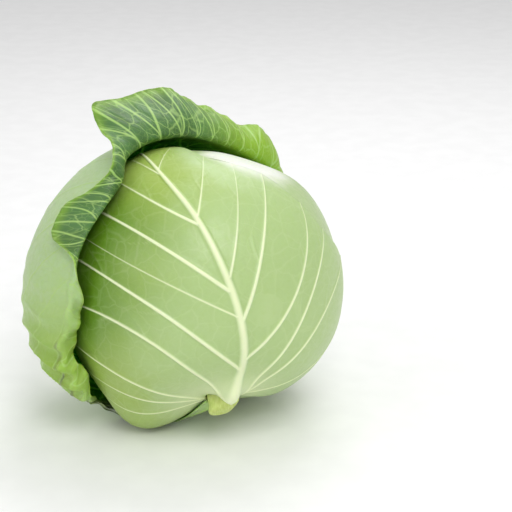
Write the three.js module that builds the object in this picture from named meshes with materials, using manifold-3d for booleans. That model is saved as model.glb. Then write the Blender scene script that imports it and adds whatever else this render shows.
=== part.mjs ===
// A cabbage head as picked: a cut stem, the packed heart round it, three wrapper leaves that
// close over the heart, and one loose outer leaf behind them with its rim rolled outward.
// Units are millimetres, +Z is up. The origin is the middle of the flat spot that the head
// rests on, straight below the centre of the head.
//
// Places on the head are given as seen from its centre, in degrees: theta from the stem axis
// (0 at the cut, 180 at the crown) and phi round it (0 at the front, 90 at the left). Each leaf
// is drawn flat in a chart of its own, in degrees from the leaf's middle: y runs to the crown,
// x towards growing phi. One degree is about 1.6 mm on the head.
import * as THREE from "three";
import { mergeVertices } from "three/addons/utils/BufferGeometryUtils.js";
import Module from "manifold-3d";

// Driving dimensions, in millimetres and degrees
const HEAD_RADIUS = 91;
const CENTRE_HEIGHT = 88;
const STEM_TILT = 45;
const STEM_TURN = 15.5;
const STUMP_RADIUS = 9.5;
const STUMP_END = 88;
const CORE_FOOT = 69;
const CORE_TOP = 41;
const CORE_TOP_RADIUS = 7;
const LEAF_THICKNESS = 1.2;
const LAYER_STEP = 2.8;
const FLOOR_STEP = 1.5;
const FIT_GAP = 0.4;
const ROOT_GAP = 0.9;
const LOOSE_GAP = 3;

// Swellings and hollows of the wrapped head: theta, phi, height, width
const HEAD_LOBES = [
  [0, 0, -16, 29],
  [38, 129, 12.5, 17],
  [30, 178, -7, 18],
  [145, -42, -6, 30],
  [11, -8, 8.5, 9],
];

// Where the loose leaf stands off the head: theta, phi, height, width
const LOOSE_LOBES = [
  [90, 95, 16, 45],
  [150, 100, 8, 40],
  [88, 122, 8, 22],
  [38, 145, -2.5, 24],
  [52, 121, -3.5, 10],
];

// The lower left swelling is that much less in each layer further in
const LAYER_FULLNESS = 0.2;

// The right wrapper leaf fills out where it shows beside the front leaf
const RIGHT_LOBES = [[122, -62, 2.8, 20]];

// Ribs, at their root and at their thin end
const MIDRIB = { height: 2.8, heightEnd: 0.7, half: 5.6, halfEnd: 1.5 };
const SIDE_RIB = { height: 1.4, heightEnd: 0.4, half: 2.7, halfEnd: 1 };

// The midrib widens and rises into the stem over the first share of its length
const FLARE = { share: 0.16, height: 2.6, half: 5 };

const DEGREE = Math.PI / 180;
const MM_PER_DEGREE = HEAD_RADIUS * DEGREE;
const CENTRE = new THREE.Vector3(0, 0, CENTRE_HEIGHT);

// The head's own axes: down the stem, to the front of the head and to its left
const stemAxis = new THREE.Vector3(
  Math.sin(STEM_TILT * DEGREE) * Math.sin(STEM_TURN * DEGREE),
  -Math.sin(STEM_TILT * DEGREE) * Math.cos(STEM_TURN * DEGREE),
  -Math.cos(STEM_TILT * DEGREE),
);
const frontAxis = new THREE.Vector3(
  Math.cos(STEM_TILT * DEGREE) * Math.sin(STEM_TURN * DEGREE),
  -Math.cos(STEM_TILT * DEGREE) * Math.cos(STEM_TURN * DEGREE),
  Math.sin(STEM_TILT * DEGREE),
);
const leftAxis = new THREE.Vector3().crossVectors(stemAxis, frontAxis);

function direction(theta, phi) {
  const across = Math.sin(theta * DEGREE);
  return new THREE.Vector3()
    .addScaledVector(stemAxis, Math.cos(theta * DEGREE))
    .addScaledVector(frontAxis, across * Math.cos(phi * DEGREE))
    .addScaledVector(leftAxis, across * Math.sin(phi * DEGREE));
}

function lobeSum(lobes, n, fullness = 1) {
  let sum = 0;
  for (const [theta, phi, height, width] of lobes) {
    const away = direction(theta, phi).angleTo(n) / DEGREE / width;
    sum += (height > 0 ? fullness : 1) * height * Math.exp(-away * away);
  }
  return sum;
}

function headPoint(n, lift, fullness) {
  const radius = HEAD_RADIUS + lobeSum(HEAD_LOBES, n, fullness) + lift;
  return CENTRE.clone().addScaledVector(n, radius);
}

function layerPoint(n, layer, lobes = []) {
  return headPoint(n, lobeSum(lobes, n) - layer * LAYER_STEP, 1 - layer * LAYER_FULLNESS);
}

function smoothstep(low, high, value) {
  const share = Math.min(Math.max((value - low) / (high - low), 0), 1);
  return share * share * (3 - 2 * share);
}

function mix(a, b, share) {
  return a + (b - a) * share;
}

// A smooth curve through rows of numbers at w = 0, 1, 2 ...
function smoothRow(rows, w) {
  const i = Math.min(Math.floor(w), rows.length - 2);
  const f = w - i;
  return rows[i].map((value, column) => {
    const next = rows[i + 1][column];
    const before = i > 0 ? rows[i - 1][column] : 2 * value - next;
    const after = i + 2 < rows.length ? rows[i + 2][column] : 2 * next - value;
    return 0.5 * (2 * value + (next - before) * f
      + (2 * before - 5 * value + 4 * next - after) * f * f
      + (3 * value - before - 3 * next + after) * f * f * f);
  });
}

// The chart of a leaf, flat about its middle
function makeChart([theta, phi]) {
  const middle = direction(theta, phi);
  const y = middle.clone().multiplyScalar(stemAxis.dot(middle)).sub(stemAxis).normalize();
  const x = direction(90, phi + 90);
  return {
    middle,
    at(px, py) {
      const away = Math.max(Math.hypot(px, py), 1e-9);
      const across = Math.sin(away * DEGREE) / away;
      return middle.clone().multiplyScalar(Math.cos(away * DEGREE))
        .addScaledVector(x, px * across)
        .addScaledVector(y, py * across);
    },
  };
}

// Leaves grow from a circle round the stem. Its place in a leaf's chart, at a turn from the
// chart's y axis: the chart widens what lies across it, the more so further from its middle.
function rootCircle(centre, lift) {
  const base = HEAD_RADIUS + HEAD_LOBES[0][2] + lift - LEAF_THICKNESS / 2;
  const radius = Math.asin((STUMP_RADIUS + ROOT_GAP) / base) / DEGREE;
  const widening = centre[0] * DEGREE / Math.sin(centre[0] * DEGREE);
  return {
    radius,
    at: (turn) => [
      radius * widening * Math.sin(turn * DEGREE),
      radius * Math.cos(turn * DEGREE) - centre[0],
    ],
  };
}

// A leaf's plan. The midrib starts at rootTurn round the stem and runs through its points. A
// side row is: where it starts, its middle x and y, its end x and y on the margin, and the size
// of its rib. A start above 0 is a share of the midrib; below 0 it is the turn round the stem,
// in degrees, from the midrib's root.
const MIDRIB_STEP = 0.02;
const SHOULDER = 0.5;

// Half the width of the midrib's top, in chart degrees; it closes at the tip
function shoulder(share) {
  const half = mix(MIDRIB.half, MIDRIB.halfEnd, share) / MM_PER_DEGREE;
  return SHOULDER * half * (1 - share ** 8);
}

function makePlan({ centre, lift, rootTurn, midrib: spine, left, right, columns, fine = false }) {
  const root = rootCircle(centre, lift);
  const midrib = [root.at(rootTurn), ...spine];
  const steps = midrib.slice(1).map((p, i) => Math.hypot(p[0] - midrib[i][0], p[1] - midrib[i][1]));
  const total = steps.reduce((sum, step) => sum + step, 0);
  const shares = [0];
  steps.forEach((step) => shares.push(shares.at(-1) + step / total));

  function onMidrib(share) {
    const s = Math.min(Math.max(share, 0), 1);
    const i = Math.max(shares.findIndex((value) => value >= s - 1e-9), 1) - 1;
    return smoothRow(midrib, i + (s - shares[i]) / (shares[i + 1] - shares[i]));
  }

  // Rows start at the shoulder of the midrib, or round the stem
  function startPoint(side, start) {
    if (start >= 0) {
      const [x, y] = onMidrib(start);
      const [ax, ay] = onMidrib(start - MIDRIB_STEP);
      const [bx, by] = onMidrib(start + MIDRIB_STEP);
      const length = Math.hypot(bx - ax, by - ay);
      const out = side * shoulder(start) / length;
      return [x + (by - ay) * out, y - (bx - ax) * out];
    }
    const rootHalf = shoulder(0) / root.radius / DEGREE;
    return root.at(rootTurn + side * (rootHalf - start));
  }

  // Starts of the rows between two ribs are spaced evenly, round the stem and up the midrib
  function startShare(side, w) {
    const rows = side > 0 ? left : right;
    const i = Math.min(Math.floor(w), rows.length - 2);
    const turnLength = root.radius * DEGREE;
    const [a, b] = [rows[i][0], rows[i + 1][0]].map((s) => s * (s < 0 ? turnLength : total));
    const length = mix(a, b, w - i);
    return length / (length < 0 ? turnLength : total);
  }

  // Chart point on row w of a side, at share t of the way from the midrib to the margin
  function point(side, w, t) {
    const rows = side > 0 ? left : right;
    const start = startPoint(side, startShare(side, w));
    const [, mx, my, ex, ey] = smoothRow(rows, w);
    return [[mx, ex], [my, ey]].map(([via, end], axis) => {
      const control = 2 * via - (start[axis] + end) / 2;
      return (1 - t) * (1 - t) * start[axis] + 2 * t * (1 - t) * control + t * t * end;
    });
  }

  const chart = makeChart(centre);
  const plan = { centre, chart, left, right, columns, fine, onMidrib, startShare, point };
  plan.ribs = ribLines(plan);
  return plan;
}

// Every rib as points of the chart with its height and half width there
const RIB_SAMPLES = 24;

function ribLines(plan) {
  const lines = [];
  const trace = (at, size, shape, flare = 0) => {
    const line = [];
    for (let i = 0; i <= RIB_SAMPLES; i += 1) {
      const share = i / RIB_SAMPLES;
      const [x, y] = at(share);
      const widening = flare * Math.max(1 - share / FLARE.share, 0) ** 2;
      const height = size * mix(shape.height, shape.heightEnd, share) + widening * FLARE.height;
      const half = Math.sqrt(size) * mix(shape.half, shape.halfEnd, share) + widening * FLARE.half;
      line.push({ x, y, height, half });
    }
    lines.push(line);
  };
  trace((share) => plan.onMidrib(share), 1, MIDRIB, 1);
  for (const side of [1, -1]) {
    const rows = side > 0 ? plan.left : plan.right;
    rows.forEach((row, w) => {
      const size = row[5];
      if (size > 0) trace((share) => plan.point(side, w, share), size, SIDE_RIB);
    });
  }
  return lines;
}

// Height of the ribs over a point of the chart, rounded across and tallest along the rib
function ribHeight(plan, x, y) {
  let tallest = 0;
  for (const line of plan.ribs) {
    for (let i = 1; i < line.length; i += 1) {
      const a = line[i - 1];
      const b = line[i];
      const dx = b.x - a.x;
      const dy = b.y - a.y;
      const along = ((x - a.x) * dx + (y - a.y) * dy) / Math.max(dx * dx + dy * dy, 1e-9);
      const share = Math.min(Math.max(along, 0), 1);
      const away = Math.hypot(x - a.x - share * dx, y - a.y - share * dy) * MM_PER_DEGREE;
      const half = mix(a.half, b.half, share);
      if (away < half) {
        const across = Math.cos(away / half * Math.PI / 2);
        tallest = Math.max(tallest, mix(a.height, b.height, share) * across * across);
      }
    }
  }
  return tallest;
}

// The grid of a leaf: rows lie along the ribs, at their feet and between them
const RIB_FOOT = 2.4;
const FOOT_SHARE = { least: 0.12, most: 0.3 };

function rowPlaces(plan, side, t) {
  const rows = side > 0 ? plan.left : plan.right;
  const places = [];
  for (let k = 0; k < rows.length - 1; k += 1) {
    const [ax, ay] = plan.point(side, k, t);
    const [bx, by] = plan.point(side, k + 1, t);
    const spacing = Math.hypot(bx - ax, by - ay) * MM_PER_DEGREE;
    const share = RIB_FOOT / Math.max(spacing, 1);
    const foot = Math.min(Math.max(share, FOOT_SHARE.least), FOOT_SHARE.most);
    places.push(k, k + foot, ...(plan.fine ? [k + 0.5] : []), k + 1 - foot);
  }
  places.push(rows.length - 1);
  return places;
}

// Fills the strip between two lines of vertices that run side by side, each with its shares
function zip(first, second, triangle) {
  let i = 0;
  let j = 0;
  while (i < first.length - 1 || j < second.length - 1) {
    const stepFirst = j === second.length - 1
      || (i < first.length - 1 && first[i + 1].share <= second[j + 1].share);
    if (stepFirst) {
      triangle(first[i].vertex, second[j].vertex, first[i + 1].vertex);
      i += 1;
    } else {
      triangle(first[i].vertex, second[j].vertex, second[j + 1].vertex);
      j += 1;
    }
  }
}

// Builds the sheet of a leaf. place(x, y, f) gives its middle surface; f runs from 0 to 1 over
// the rolled rim, past the fold. Points that coincide are shared.
function makeSheet(plan, place, rimShares = []) {
  const points = [];
  const charted = [];
  const triangles = [];
  const known = new Map();

  function vertex(x, y, f) {
    const key = `${x.toFixed(2)} ${y.toFixed(2)} ${f}`;
    if (!known.has(key)) {
      known.set(key, points.length);
      points.push(place(x, y, f));
      charted.push([x, y, f]);
    }
    return known.get(key);
  }

  function triangle(side, a, b, c) {
    if (a === b || b === c || a === c) return;
    triangles.push(side > 0 ? [a, b, c] : [a, c, b]);
  }

  function quad(side, a, b, c, d) {
    if (points[a].distanceTo(points[c]) < points[b].distanceTo(points[d])) {
      triangle(side, a, b, c);
      triangle(side, a, c, d);
    } else {
      triangle(side, a, b, d);
      triangle(side, b, c, d);
    }
  }

  const middle = [];
  for (let i = 0; i <= RIB_SAMPLES; i += 1) {
    const share = i / RIB_SAMPLES;
    middle.push({ vertex: vertex(...plan.onMidrib(share), 0), share });
  }

  for (const side of [1, -1]) {
    const columns = [];
    for (let j = 0; j <= plan.columns; j += 1) {
      const t = j / plan.columns;
      columns.push(rowPlaces(plan, side, t).map((w) => vertex(...plan.point(side, w, t), 0)));
    }
    const edge = rowPlaces(plan, side, 1).map((w) => plan.point(side, w, 1));
    for (const f of rimShares) columns.push(edge.map(([x, y]) => vertex(x, y, f)));
    for (let j = 1; j < columns.length; j += 1) {
      for (let i = 1; i < columns[0].length; i += 1) {
        quad(side, columns[j - 1][i - 1], columns[j][i - 1], columns[j][i], columns[j - 1][i]);
      }
    }
    const shoulders = rowPlaces(plan, side, 0).map((w, i) => (
      { vertex: columns[0][i], share: plan.startShare(side, w) }));
    const first = Math.max(shoulders.findIndex(({ share }) => share >= 0) - 1, 0);
    zip(middle, shoulders.slice(first), (a, b, c) => triangle(side, a, b, c));
  }
  return { points, charted, triangles };
}

function sheetNormals(points, triangles) {
  const normals = points.map(() => new THREE.Vector3());
  const ab = new THREE.Vector3();
  const ac = new THREE.Vector3();
  for (const [a, b, c] of triangles) {
    ab.subVectors(points[b], points[a]);
    ac.subVectors(points[c], points[a]);
    ab.cross(ac);
    for (const corner of [a, b, c]) normals[corner].add(ab);
  }
  normals.forEach((normal) => normal.normalize());
  return normals;
}

// Gives a sheet its thickness: both faces share their triangles, and a wall closes the margin.
// The leaf thickens away from the head's centre, and its rolled rim at right angles to itself.
// Nothing of the outer face goes below floor, nor of the inner face below floor + thickness.
function thicken({ points, charted, triangles }, relief, floor) {
  const normals = sheetNormals(points, triangles);
  const radial = points.map((point) => point.clone().sub(CENTRE).normalize());
  const outward = radial.reduce((sum, n, i) => (charted[i][2] > 0 ? sum : sum + n.dot(normals[i])), 0);
  const faces = outward > 0 ? triangles : triangles.map(([a, b, c]) => [a, c, b]);
  const lifts = radial.map((n, i) => (
    charted[i][2] > 0 ? normals[i].multiplyScalar(Math.sign(outward)) : n));
  const half = LEAF_THICKNESS / 2;
  const raised = (i, lift, lowest) => {
    const point = points[i].clone().addScaledVector(lifts[i], lift);
    point.z = Math.max(point.z, lowest);
    return point;
  };
  const outer = points.map((_, i) => raised(i, half + relief(...charted[i], points[i]), floor));
  const inner = points.map((_, i) => raised(i, -half, floor + LEAF_THICKNESS));

  const count = points.length;
  const index = [];
  const edges = new Map();
  for (const [a, b, c] of faces) {
    index.push(a, b, c, a + count, c + count, b + count);
    for (const [from, to] of [[a, b], [b, c], [c, a]]) {
      const back = `${to} ${from}`;
      if (edges.has(back)) edges.delete(back);
      else edges.set(`${from} ${to}`, [from, to]);
    }
  }
  for (const [from, to] of edges.values()) {
    index.push(to, from, from + count, to, from + count, to + count);
  }
  const geometry = new THREE.BufferGeometry();
  const values = [...outer, ...inner].flatMap((point) => point.toArray());
  geometry.setAttribute("position", new THREE.Float32BufferAttribute(values, 3));
  geometry.setIndex(index);
  return geometry;
}

// Front wrapper leaf, the one that shows most
const FRONT_TIP = [22, 84];
const frontLeaf = makePlan({
  centre: [65, 14],
  lift: 0,
  rootTurn: -18,
  columns: 11,
  fine: true,
  midrib: [[-11, -36], [-12, -10], [-5, 22], [8, 52], FRONT_TIP],
  left: [
    [-155, 33, -83, 58, -72, 0],
    [-150, 36, -71, 66, -58, 0],
    [-143, 39, -58, 72, -44, 0.5],
    [-127, 42, -46, 78, -29, 0.6],
    [-110, 46, -30, 84, -11, 0.8],
    [-4, 31, -10, 84, 6, 1],
    [0.14, 26, 3, 76, 36, 1],
    [0.31, 25, 14, 71, 50, 0.3],
    [0.38, 26, 31, 64, 61, 0.8],
    [0.56, 19, 44, 47, 76, 0.5],
    [0.76, 20, 66, 32, 85, 0.3],
    [1, ...FRONT_TIP, ...FRONT_TIP, 0],
  ],
  right: [
    [-115, -36, -82, -62, -76, 0],
    [-95, -52, -56, -86, -24, 0.6],
    [-70, -48, -28, -80, 0, 0.9],
    [-30, -43, -16, -63, 15, 0.9],
    [0.18, -40, -6, -53, 29, 0.8],
    [0.3, -27, 12, -38, 46, 0.8],
    [0.41, -20, 26, -25, 53, 0.4],
    [0.58, -9, 42, -13, 60, 0.4],
    [0.78, 6, 62, 0, 79, 0.3],
    [1, ...FRONT_TIP, ...FRONT_TIP, 0],
  ],
});

// A leaf whose side rows end at the given turns from its tip, on the margin reach(turn). Its
// ribs bow outward and towards the root. base moves the middles of the first rows of each side.
const FAN_BOW = [0.08, 0.12];

function fanLeaf({ turns, starts, reach, ribSize, base = [], ...rest }) {
  const tip = rest.midrib.at(-1);
  const root = rootCircle(rest.centre, rest.lift).at(rest.rootTurn);
  const side = (sign) => turns.map((turn, i) => {
    if (turn === 0) return [1, ...tip, ...tip, 0];
    const away = reach(sign * turn);
    const end = [sign * away * Math.sin(turn * DEGREE), away * Math.cos(turn * DEGREE)];
    const share = Math.max(starts[i], 0);
    const start = [0, 1].map((axis) => mix(root[axis], tip[axis], share));
    const dx = end[0] - start[0];
    const dy = end[1] - start[1];
    const via = [
      (start[0] + end[0]) / 2 + sign * FAN_BOW[0] * Math.abs(dy),
      (start[1] + end[1]) / 2 - FAN_BOW[1] * Math.abs(dx),
    ];
    return [starts[i], ...via, ...end, i === 0 ? 0 : ribSize];
  });
  const [left, right] = [side(1), side(-1)];
  base.forEach((vias, k) => vias.forEach((via, i) => [left, right][k][i].splice(1, 2, ...via)));
  return makePlan({ ...rest, left, right });
}

const WRAP_TURNS = [152, 134, 116, 98, 80, 62, 45, 29, 14, 0];
const WRAP_STARTS = [-95, -60, -30, 0.05, 0.16, 0.3, 0.45, 0.6, 0.78, 1];
const WRAP_TIP_WIDTH = 75;
const WRAP_WAVE = 1.5;
const WRAP_WAVE_TURN = 33;

function wrapReach(side, tip) {
  return (turn) => side + (tip - side) * Math.exp(-((turn / WRAP_TIP_WIDTH) ** 2))
    + WRAP_WAVE * Math.sin(turn / WRAP_WAVE_TURN * 2 * Math.PI);
}

// The right leaf reaches further towards the crown on its front side
const RIGHT_REACH = { turn: 47, half: 24, height: 26 };

const rightLeaf = fanLeaf({
  centre: [75, -125],
  lift: -LAYER_STEP,
  rootTurn: 0,
  columns: 10,
  fine: true,
  midrib: [[3, -30], [4, 0], [2, 50], [0, 112]],
  turns: WRAP_TURNS,
  starts: WRAP_STARTS,
  reach: (turn) => wrapReach(84, 112)(turn)
    + RIGHT_REACH.height * Math.exp(-(((turn - RIGHT_REACH.turn) / RIGHT_REACH.half) ** 2)),
  ribSize: 0.8,
});

const leftLeaf = fanLeaf({
  centre: [75, 125],
  lift: -2 * LAYER_STEP,
  rootTurn: 0,
  columns: 7,
  fine: true,
  midrib: [[-3, -30], [-4, 0], [-2, 40], [0, 82]],
  turns: WRAP_TURNS,
  starts: WRAP_STARTS,
  reach: wrapReach(80, 82),
  ribSize: 0.8,
});

// Loose outer leaf. Its rim by the turn from the tip (below 0 is the left of the head): how far
// out the fold lies (degrees), the reach and lift of the bend, and from the fold to the margin:
// outward, off the leaf and along the rim (mm).
const RIM = [
  [-180, 78, 2, 1, 3, 1, 0],
  [-170, 71, 2, 1, 3, 1, 0],
  [-162, 64, 2, 1, 2, 1, 0],
  [-155, 66, 2, 1, 3, 1, 0],
  [-149, 76, 3, 1, 4, -3, 2],
  [-140, 80, 4, 1, 5, -6, 5],
  [-132, 80, 4, 1, 5, -8, 5],
  [-124, 84, 4, 1, 2, -8, 2],
  [-116, 88, 3, 1, 4, -8, 1],
  [-106, 94, 3, 1, 2, -8, -4],
  [-97, 96, 3, 1, 5, -5, -4],
  [-89, 94, 4, 3, 2, 5, 3],
  [-80, 96, 6, 6, -18, 5, -5],
  [-71, 98, 6, 7, -22, 6, -4],
  [-62, 98, 6, 8, -8, 9, -6],
  [-53, 97, 5, 8, 3, 11, -6],
  [-46, 90, 6, 8, 2, 13, -4],
  [-40, 87, 7, 10, -12, 21, -9],
  [-35, 87, 8, 12, -24, 29, -13],
  [-28, 89, 8, 12, -25, 26, -6],
  [-21, 88, 8, 12, -24, 29, -4],
  [-12, 87, 8, 12, -19, 27, -4],
  [0, 87, 8, 12, -17, 22, -6],
  [14, 87, 8, 12, -12, 20, -4],
  [27, 88, 8, 12, -10, 24, -5],
  [38, 86, 5, 7, -9, 15, -6],
  [52, 80, 4, 3, 0, 5, 0],
  [75, 82, 4, 3, 7, 7, 0],
  [110, 86, 4, 3, 8, 8, 0],
  [132, 83, 3, 2, 5, 4, 0],
  [160, 78, 2, 1, 2, 1, 0],
  [180, 78, 2, 1, 3, 1, 0],
];

function rimAt(turn) {
  const i = Math.max(RIM.findIndex((row) => row[0] >= turn), 1) - 1;
  return smoothRow(RIM, i + (turn - RIM[i][0]) / (RIM[i + 1][0] - RIM[i][0]));
}

const outerLeaf = fanLeaf({
  centre: [119.5, 153],
  lift: LOOSE_GAP,
  rootTurn: 10,
  columns: 8,
  fine: true,
  midrib: [[6, -90], [6, -60], [2, 0], [0, 87]],
  turns: [158, 140, 124, 108, 94, 80, 68, 56, 45, 34, 22, 11, 0],
  starts: [-35, 0.16, 0.2, 0.24, 0.29, 0.35, 0.43, 0.51, 0.6, 0.69, 0.79, 0.89, 1],
  reach: (turn) => rimAt(turn)[1],
  ribSize: 0.8,
  base: [[[16, -84]], [[-2, -79], [-19, -67], [-34, -62]]],
});

function loosePoint(chart, x, y) {
  const n = chart.at(x, y);
  return headPoint(n, LOOSE_GAP + lobeSum(LOOSE_LOBES, n));
}

// The rolled rim is a curve that leaves the fold in line with the leaf and bends back
const RIM_SHARES = [0.18, 0.36, 0.52, 0.68, 0.84, 1];
const RIM_PROBE = 0.5;
const RUFFLE_TURN = 19;
const RUFFLE = 1.5;
const RUFFLE_LEAN = { outward: 0.4, off: 0.6 };
const CRUMPLE = 2.5;
const CRUMPLE_AT = [-122, 24];

function rimPoint(chart, x, y, f) {
  const fold = loosePoint(chart, x, y);
  const away = Math.hypot(x, y);
  const turn = Math.atan2(x, y) / DEGREE;
  const [, , reach, lift, out, off, along] = rimAt(turn);
  const [stepX, stepY] = [x / away * RIM_PROBE, y / away * RIM_PROBE];
  const outward = loosePoint(chart, x + stepX, y + stepY).sub(fold).normalize();
  const sideways = loosePoint(chart, x + stepY, y - stepX).sub(fold);
  sideways.addScaledVector(outward, -sideways.dot(outward)).normalize();
  const normal = new THREE.Vector3().crossVectors(outward, sideways);
  if (normal.dot(fold.clone().sub(CENTRE)) < 0) normal.negate();
  const at = (o, n, s) => fold.clone().addScaledVector(outward, o).addScaledVector(normal, n)
    .addScaledVector(sideways, s);
  const curve = new THREE.CubicBezierCurve3(fold, at(reach, 0, 0), at(reach, lift, 0), at(out, off, along));
  const crumple = CRUMPLE * Math.exp(-(((turn - CRUMPLE_AT[0]) / CRUMPLE_AT[1]) ** 2));
  const ruffle = (RUFFLE + crumple) * f * f * Math.sin(turn / RUFFLE_TURN * 2 * Math.PI);
  return curve.getPoint(f)
    .addScaledVector(outward, RUFFLE_LEAN.outward * ruffle)
    .addScaledVector(normal, RUFFLE_LEAN.off * ruffle);
}

// Wrapper leaves lie close under each other, so ribs fade where another leaf covers them
const COVER = [92, 104];

function covered(n, coveringPlans) {
  return coveringPlans.reduce((share, plan) => (
    share * smoothstep(...COVER, plan.chart.middle.angleTo(n) / DEGREE)), 1);
}

function wrapperGeometry(plan, layer, coveringPlans, lobes = []) {
  const place = (x, y) => layerPoint(plan.chart.at(x, y), layer, lobes);
  const relief = (x, y) => ribHeight(plan, x, y) * covered(plan.chart.at(x, y), coveringPlans);
  const floor = (layer + 1) * (LEAF_THICKNESS + FLOOR_STEP);
  return thicken(makeSheet(plan, place), relief, floor);
}

// The loose leaf's ribs are lower than those of the wrapper leaves, and end at the fold
const OUTER_RIBS = 0.6;
const FOLD_RELIEF = 0.3;

function outerGeometry() {
  const { chart } = outerLeaf;
  const place = (x, y, f) => (f > 0 ? rimPoint(chart, x, y, f) : loosePoint(chart, x, y));
  const relief = (x, y, f) => (
    f > 0 ? FOLD_RELIEF * (1 - f) : OUTER_RIBS * ribHeight(outerLeaf, x, y));
  return thicken(makeSheet(outerLeaf, place, RIM_SHARES), relief, 0);
}

// Solids for cutting and joining
const wasm = await Module();
wasm.setup();

function toSolid(geometry) {
  const plain = geometry.clone();
  plain.deleteAttribute("normal");
  plain.deleteAttribute("uv");
  const merged = mergeVertices(plain, 1e-4);
  return new wasm.Manifold(new wasm.Mesh({
    numProp: 3,
    vertProperties: new Float32Array(merged.attributes.position.array),
    triVerts: new Uint32Array(merged.index.array),
  }));
}

function toGeometry(solid) {
  const { vertProperties, triVerts } = solid.getMesh();
  const geometry = new THREE.BufferGeometry();
  geometry.setAttribute("position", new THREE.BufferAttribute(vertProperties, 3));
  geometry.setIndex(new THREE.BufferAttribute(triVerts, 1));
  return geometry;
}

// The heart is the head's shape below the wrapper leaves
const HEART_SEGMENTS = [44, 24];
const HEART_LAYER = 3;
const HEART_FLOOR = 12.5;

function heartBall() {
  const geometry = new THREE.SphereGeometry(1, ...HEART_SEGMENTS);
  const position = geometry.attributes.position;
  const n = new THREE.Vector3();
  for (let i = 0; i < position.count; i += 1) {
    n.fromBufferAttribute(position, i).normalize();
    const point = layerPoint(n, HEART_LAYER);
    point.z = Math.max(point.z, HEART_FLOOR);
    position.setXYZ(i, ...point.toArray());
  }
  return geometry;
}

// The stem: a cut stump outside and a tapered core inside the heart, turned about its axis. The
// stump leans to the front and left by this much at its cut.
const STEM_SIDES = 20;
const CUT_ROUND = 2.5;
const LEAN = { from: 82.5, front: -2.2, left: 3.5 };

function stemGeometry(allowance) {
  const profile = [
    [0, CORE_TOP - allowance],
    [CORE_TOP_RADIUS + allowance, CORE_TOP - allowance],
    [STUMP_RADIUS + allowance, CORE_FOOT],
    [STUMP_RADIUS + allowance, LEAN.from],
    [STUMP_RADIUS + allowance, STUMP_END - CUT_ROUND],
    [STUMP_RADIUS + allowance - CUT_ROUND, STUMP_END],
    [0, STUMP_END],
  ].map(([radius, along]) => new THREE.Vector2(radius, along));
  const geometry = new THREE.LatheGeometry(profile, STEM_SIDES);
  const turn = new THREE.Quaternion().setFromUnitVectors(new THREE.Vector3(0, 1, 0), stemAxis);
  geometry.applyQuaternion(turn);
  const position = geometry.attributes.position;
  const point = new THREE.Vector3();
  for (let i = 0; i < position.count; i += 1) {
    point.fromBufferAttribute(position, i);
    const share = Math.max(point.dot(stemAxis) - LEAN.from, 0) / (STUMP_END - LEAN.from);
    point.addScaledVector(frontAxis, LEAN.front * share).addScaledVector(leftAxis, LEAN.left * share);
    position.setXYZ(i, ...point.add(CENTRE).toArray());
  }
  return geometry;
}

function heartGeometry() {
  return toGeometry(toSolid(heartBall()).subtract(toSolid(stemGeometry(FIT_GAP))));
}

// Materials, one for each node
function leafMaterial(color, roughness) {
  return new THREE.MeshStandardMaterial({ color, roughness, metalness: 0 });
}

function namedMesh(name, geometry, material) {
  geometry.computeVertexNormals();
  const mesh = new THREE.Mesh(geometry, material);
  mesh.name = name;
  return mesh;
}

const cabbage = new THREE.Group();
cabbage.add(
  namedMesh("stem_stump", toGeometry(toSolid(stemGeometry(0))), leafMaterial("#c3cf80", 0.6)),
  namedMesh("heart", heartGeometry(), leafMaterial("#d3dc9a", 0.5)),
  namedMesh("wrapper_leaf_left", wrapperGeometry(leftLeaf, 2, [frontLeaf, rightLeaf]),
    leafMaterial("#b4cb8a", 0.45)),
  namedMesh("wrapper_leaf_right", wrapperGeometry(rightLeaf, 1, [frontLeaf], RIGHT_LOBES),
    leafMaterial("#bcd08c", 0.45)),
  namedMesh("wrapper_leaf_front", wrapperGeometry(frontLeaf, 0, []), leafMaterial("#b0c97f", 0.45)),
  namedMesh("outer_leaf", outerGeometry(), leafMaterial("#7fa873", 0.5)),
);

export default cabbage;
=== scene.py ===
"""Cabbage head: fine leaves with ribs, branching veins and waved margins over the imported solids,
with leaf materials, a pale floor, soft light and a camera.

Shapes are worked out in millimetres and degrees, with +Z up, as in the part's source, and made
in metres. Places on the head are seen from its centre: theta from the stem axis (0 at the cut,
180 at the crown), phi round it (0 at the front, 90 at the left). Each leaf is drawn flat in a
chart of its own, in degrees from the leaf's middle: y to the crown, x towards growing phi."""
import math

import bpy
import numpy as np
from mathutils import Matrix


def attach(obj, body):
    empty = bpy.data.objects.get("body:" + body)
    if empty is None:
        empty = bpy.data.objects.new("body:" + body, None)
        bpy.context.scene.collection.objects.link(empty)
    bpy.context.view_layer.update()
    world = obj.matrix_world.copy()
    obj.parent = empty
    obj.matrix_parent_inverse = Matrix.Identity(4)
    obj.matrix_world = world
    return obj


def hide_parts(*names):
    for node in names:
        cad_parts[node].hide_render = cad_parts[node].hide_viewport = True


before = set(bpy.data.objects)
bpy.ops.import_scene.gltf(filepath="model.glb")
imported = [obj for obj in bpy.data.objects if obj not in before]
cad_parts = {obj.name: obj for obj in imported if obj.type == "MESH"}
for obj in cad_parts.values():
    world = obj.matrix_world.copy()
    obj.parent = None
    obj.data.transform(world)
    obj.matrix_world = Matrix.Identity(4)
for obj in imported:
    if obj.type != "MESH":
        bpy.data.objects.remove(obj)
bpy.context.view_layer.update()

MM = 0.001

# The head, as in the solids
HEAD_RADIUS = 91.0
CENTRE = np.array([0.0, 0.0, 88.0])
STEM_TILT = math.radians(45)
STEM_TURN = math.radians(15.5)
STUMP_RADIUS = 9.5
STUMP_END = 88.0
LEAF_THICKNESS = 1.2
LAYER_STEP = 2.8
FLOOR_STEP = 1.5
ROOT_GAP = 0.9
LOOSE_GAP = 3.0
LAYER_FULLNESS = 0.2
MM_PER_DEGREE = math.radians(HEAD_RADIUS)

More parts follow.
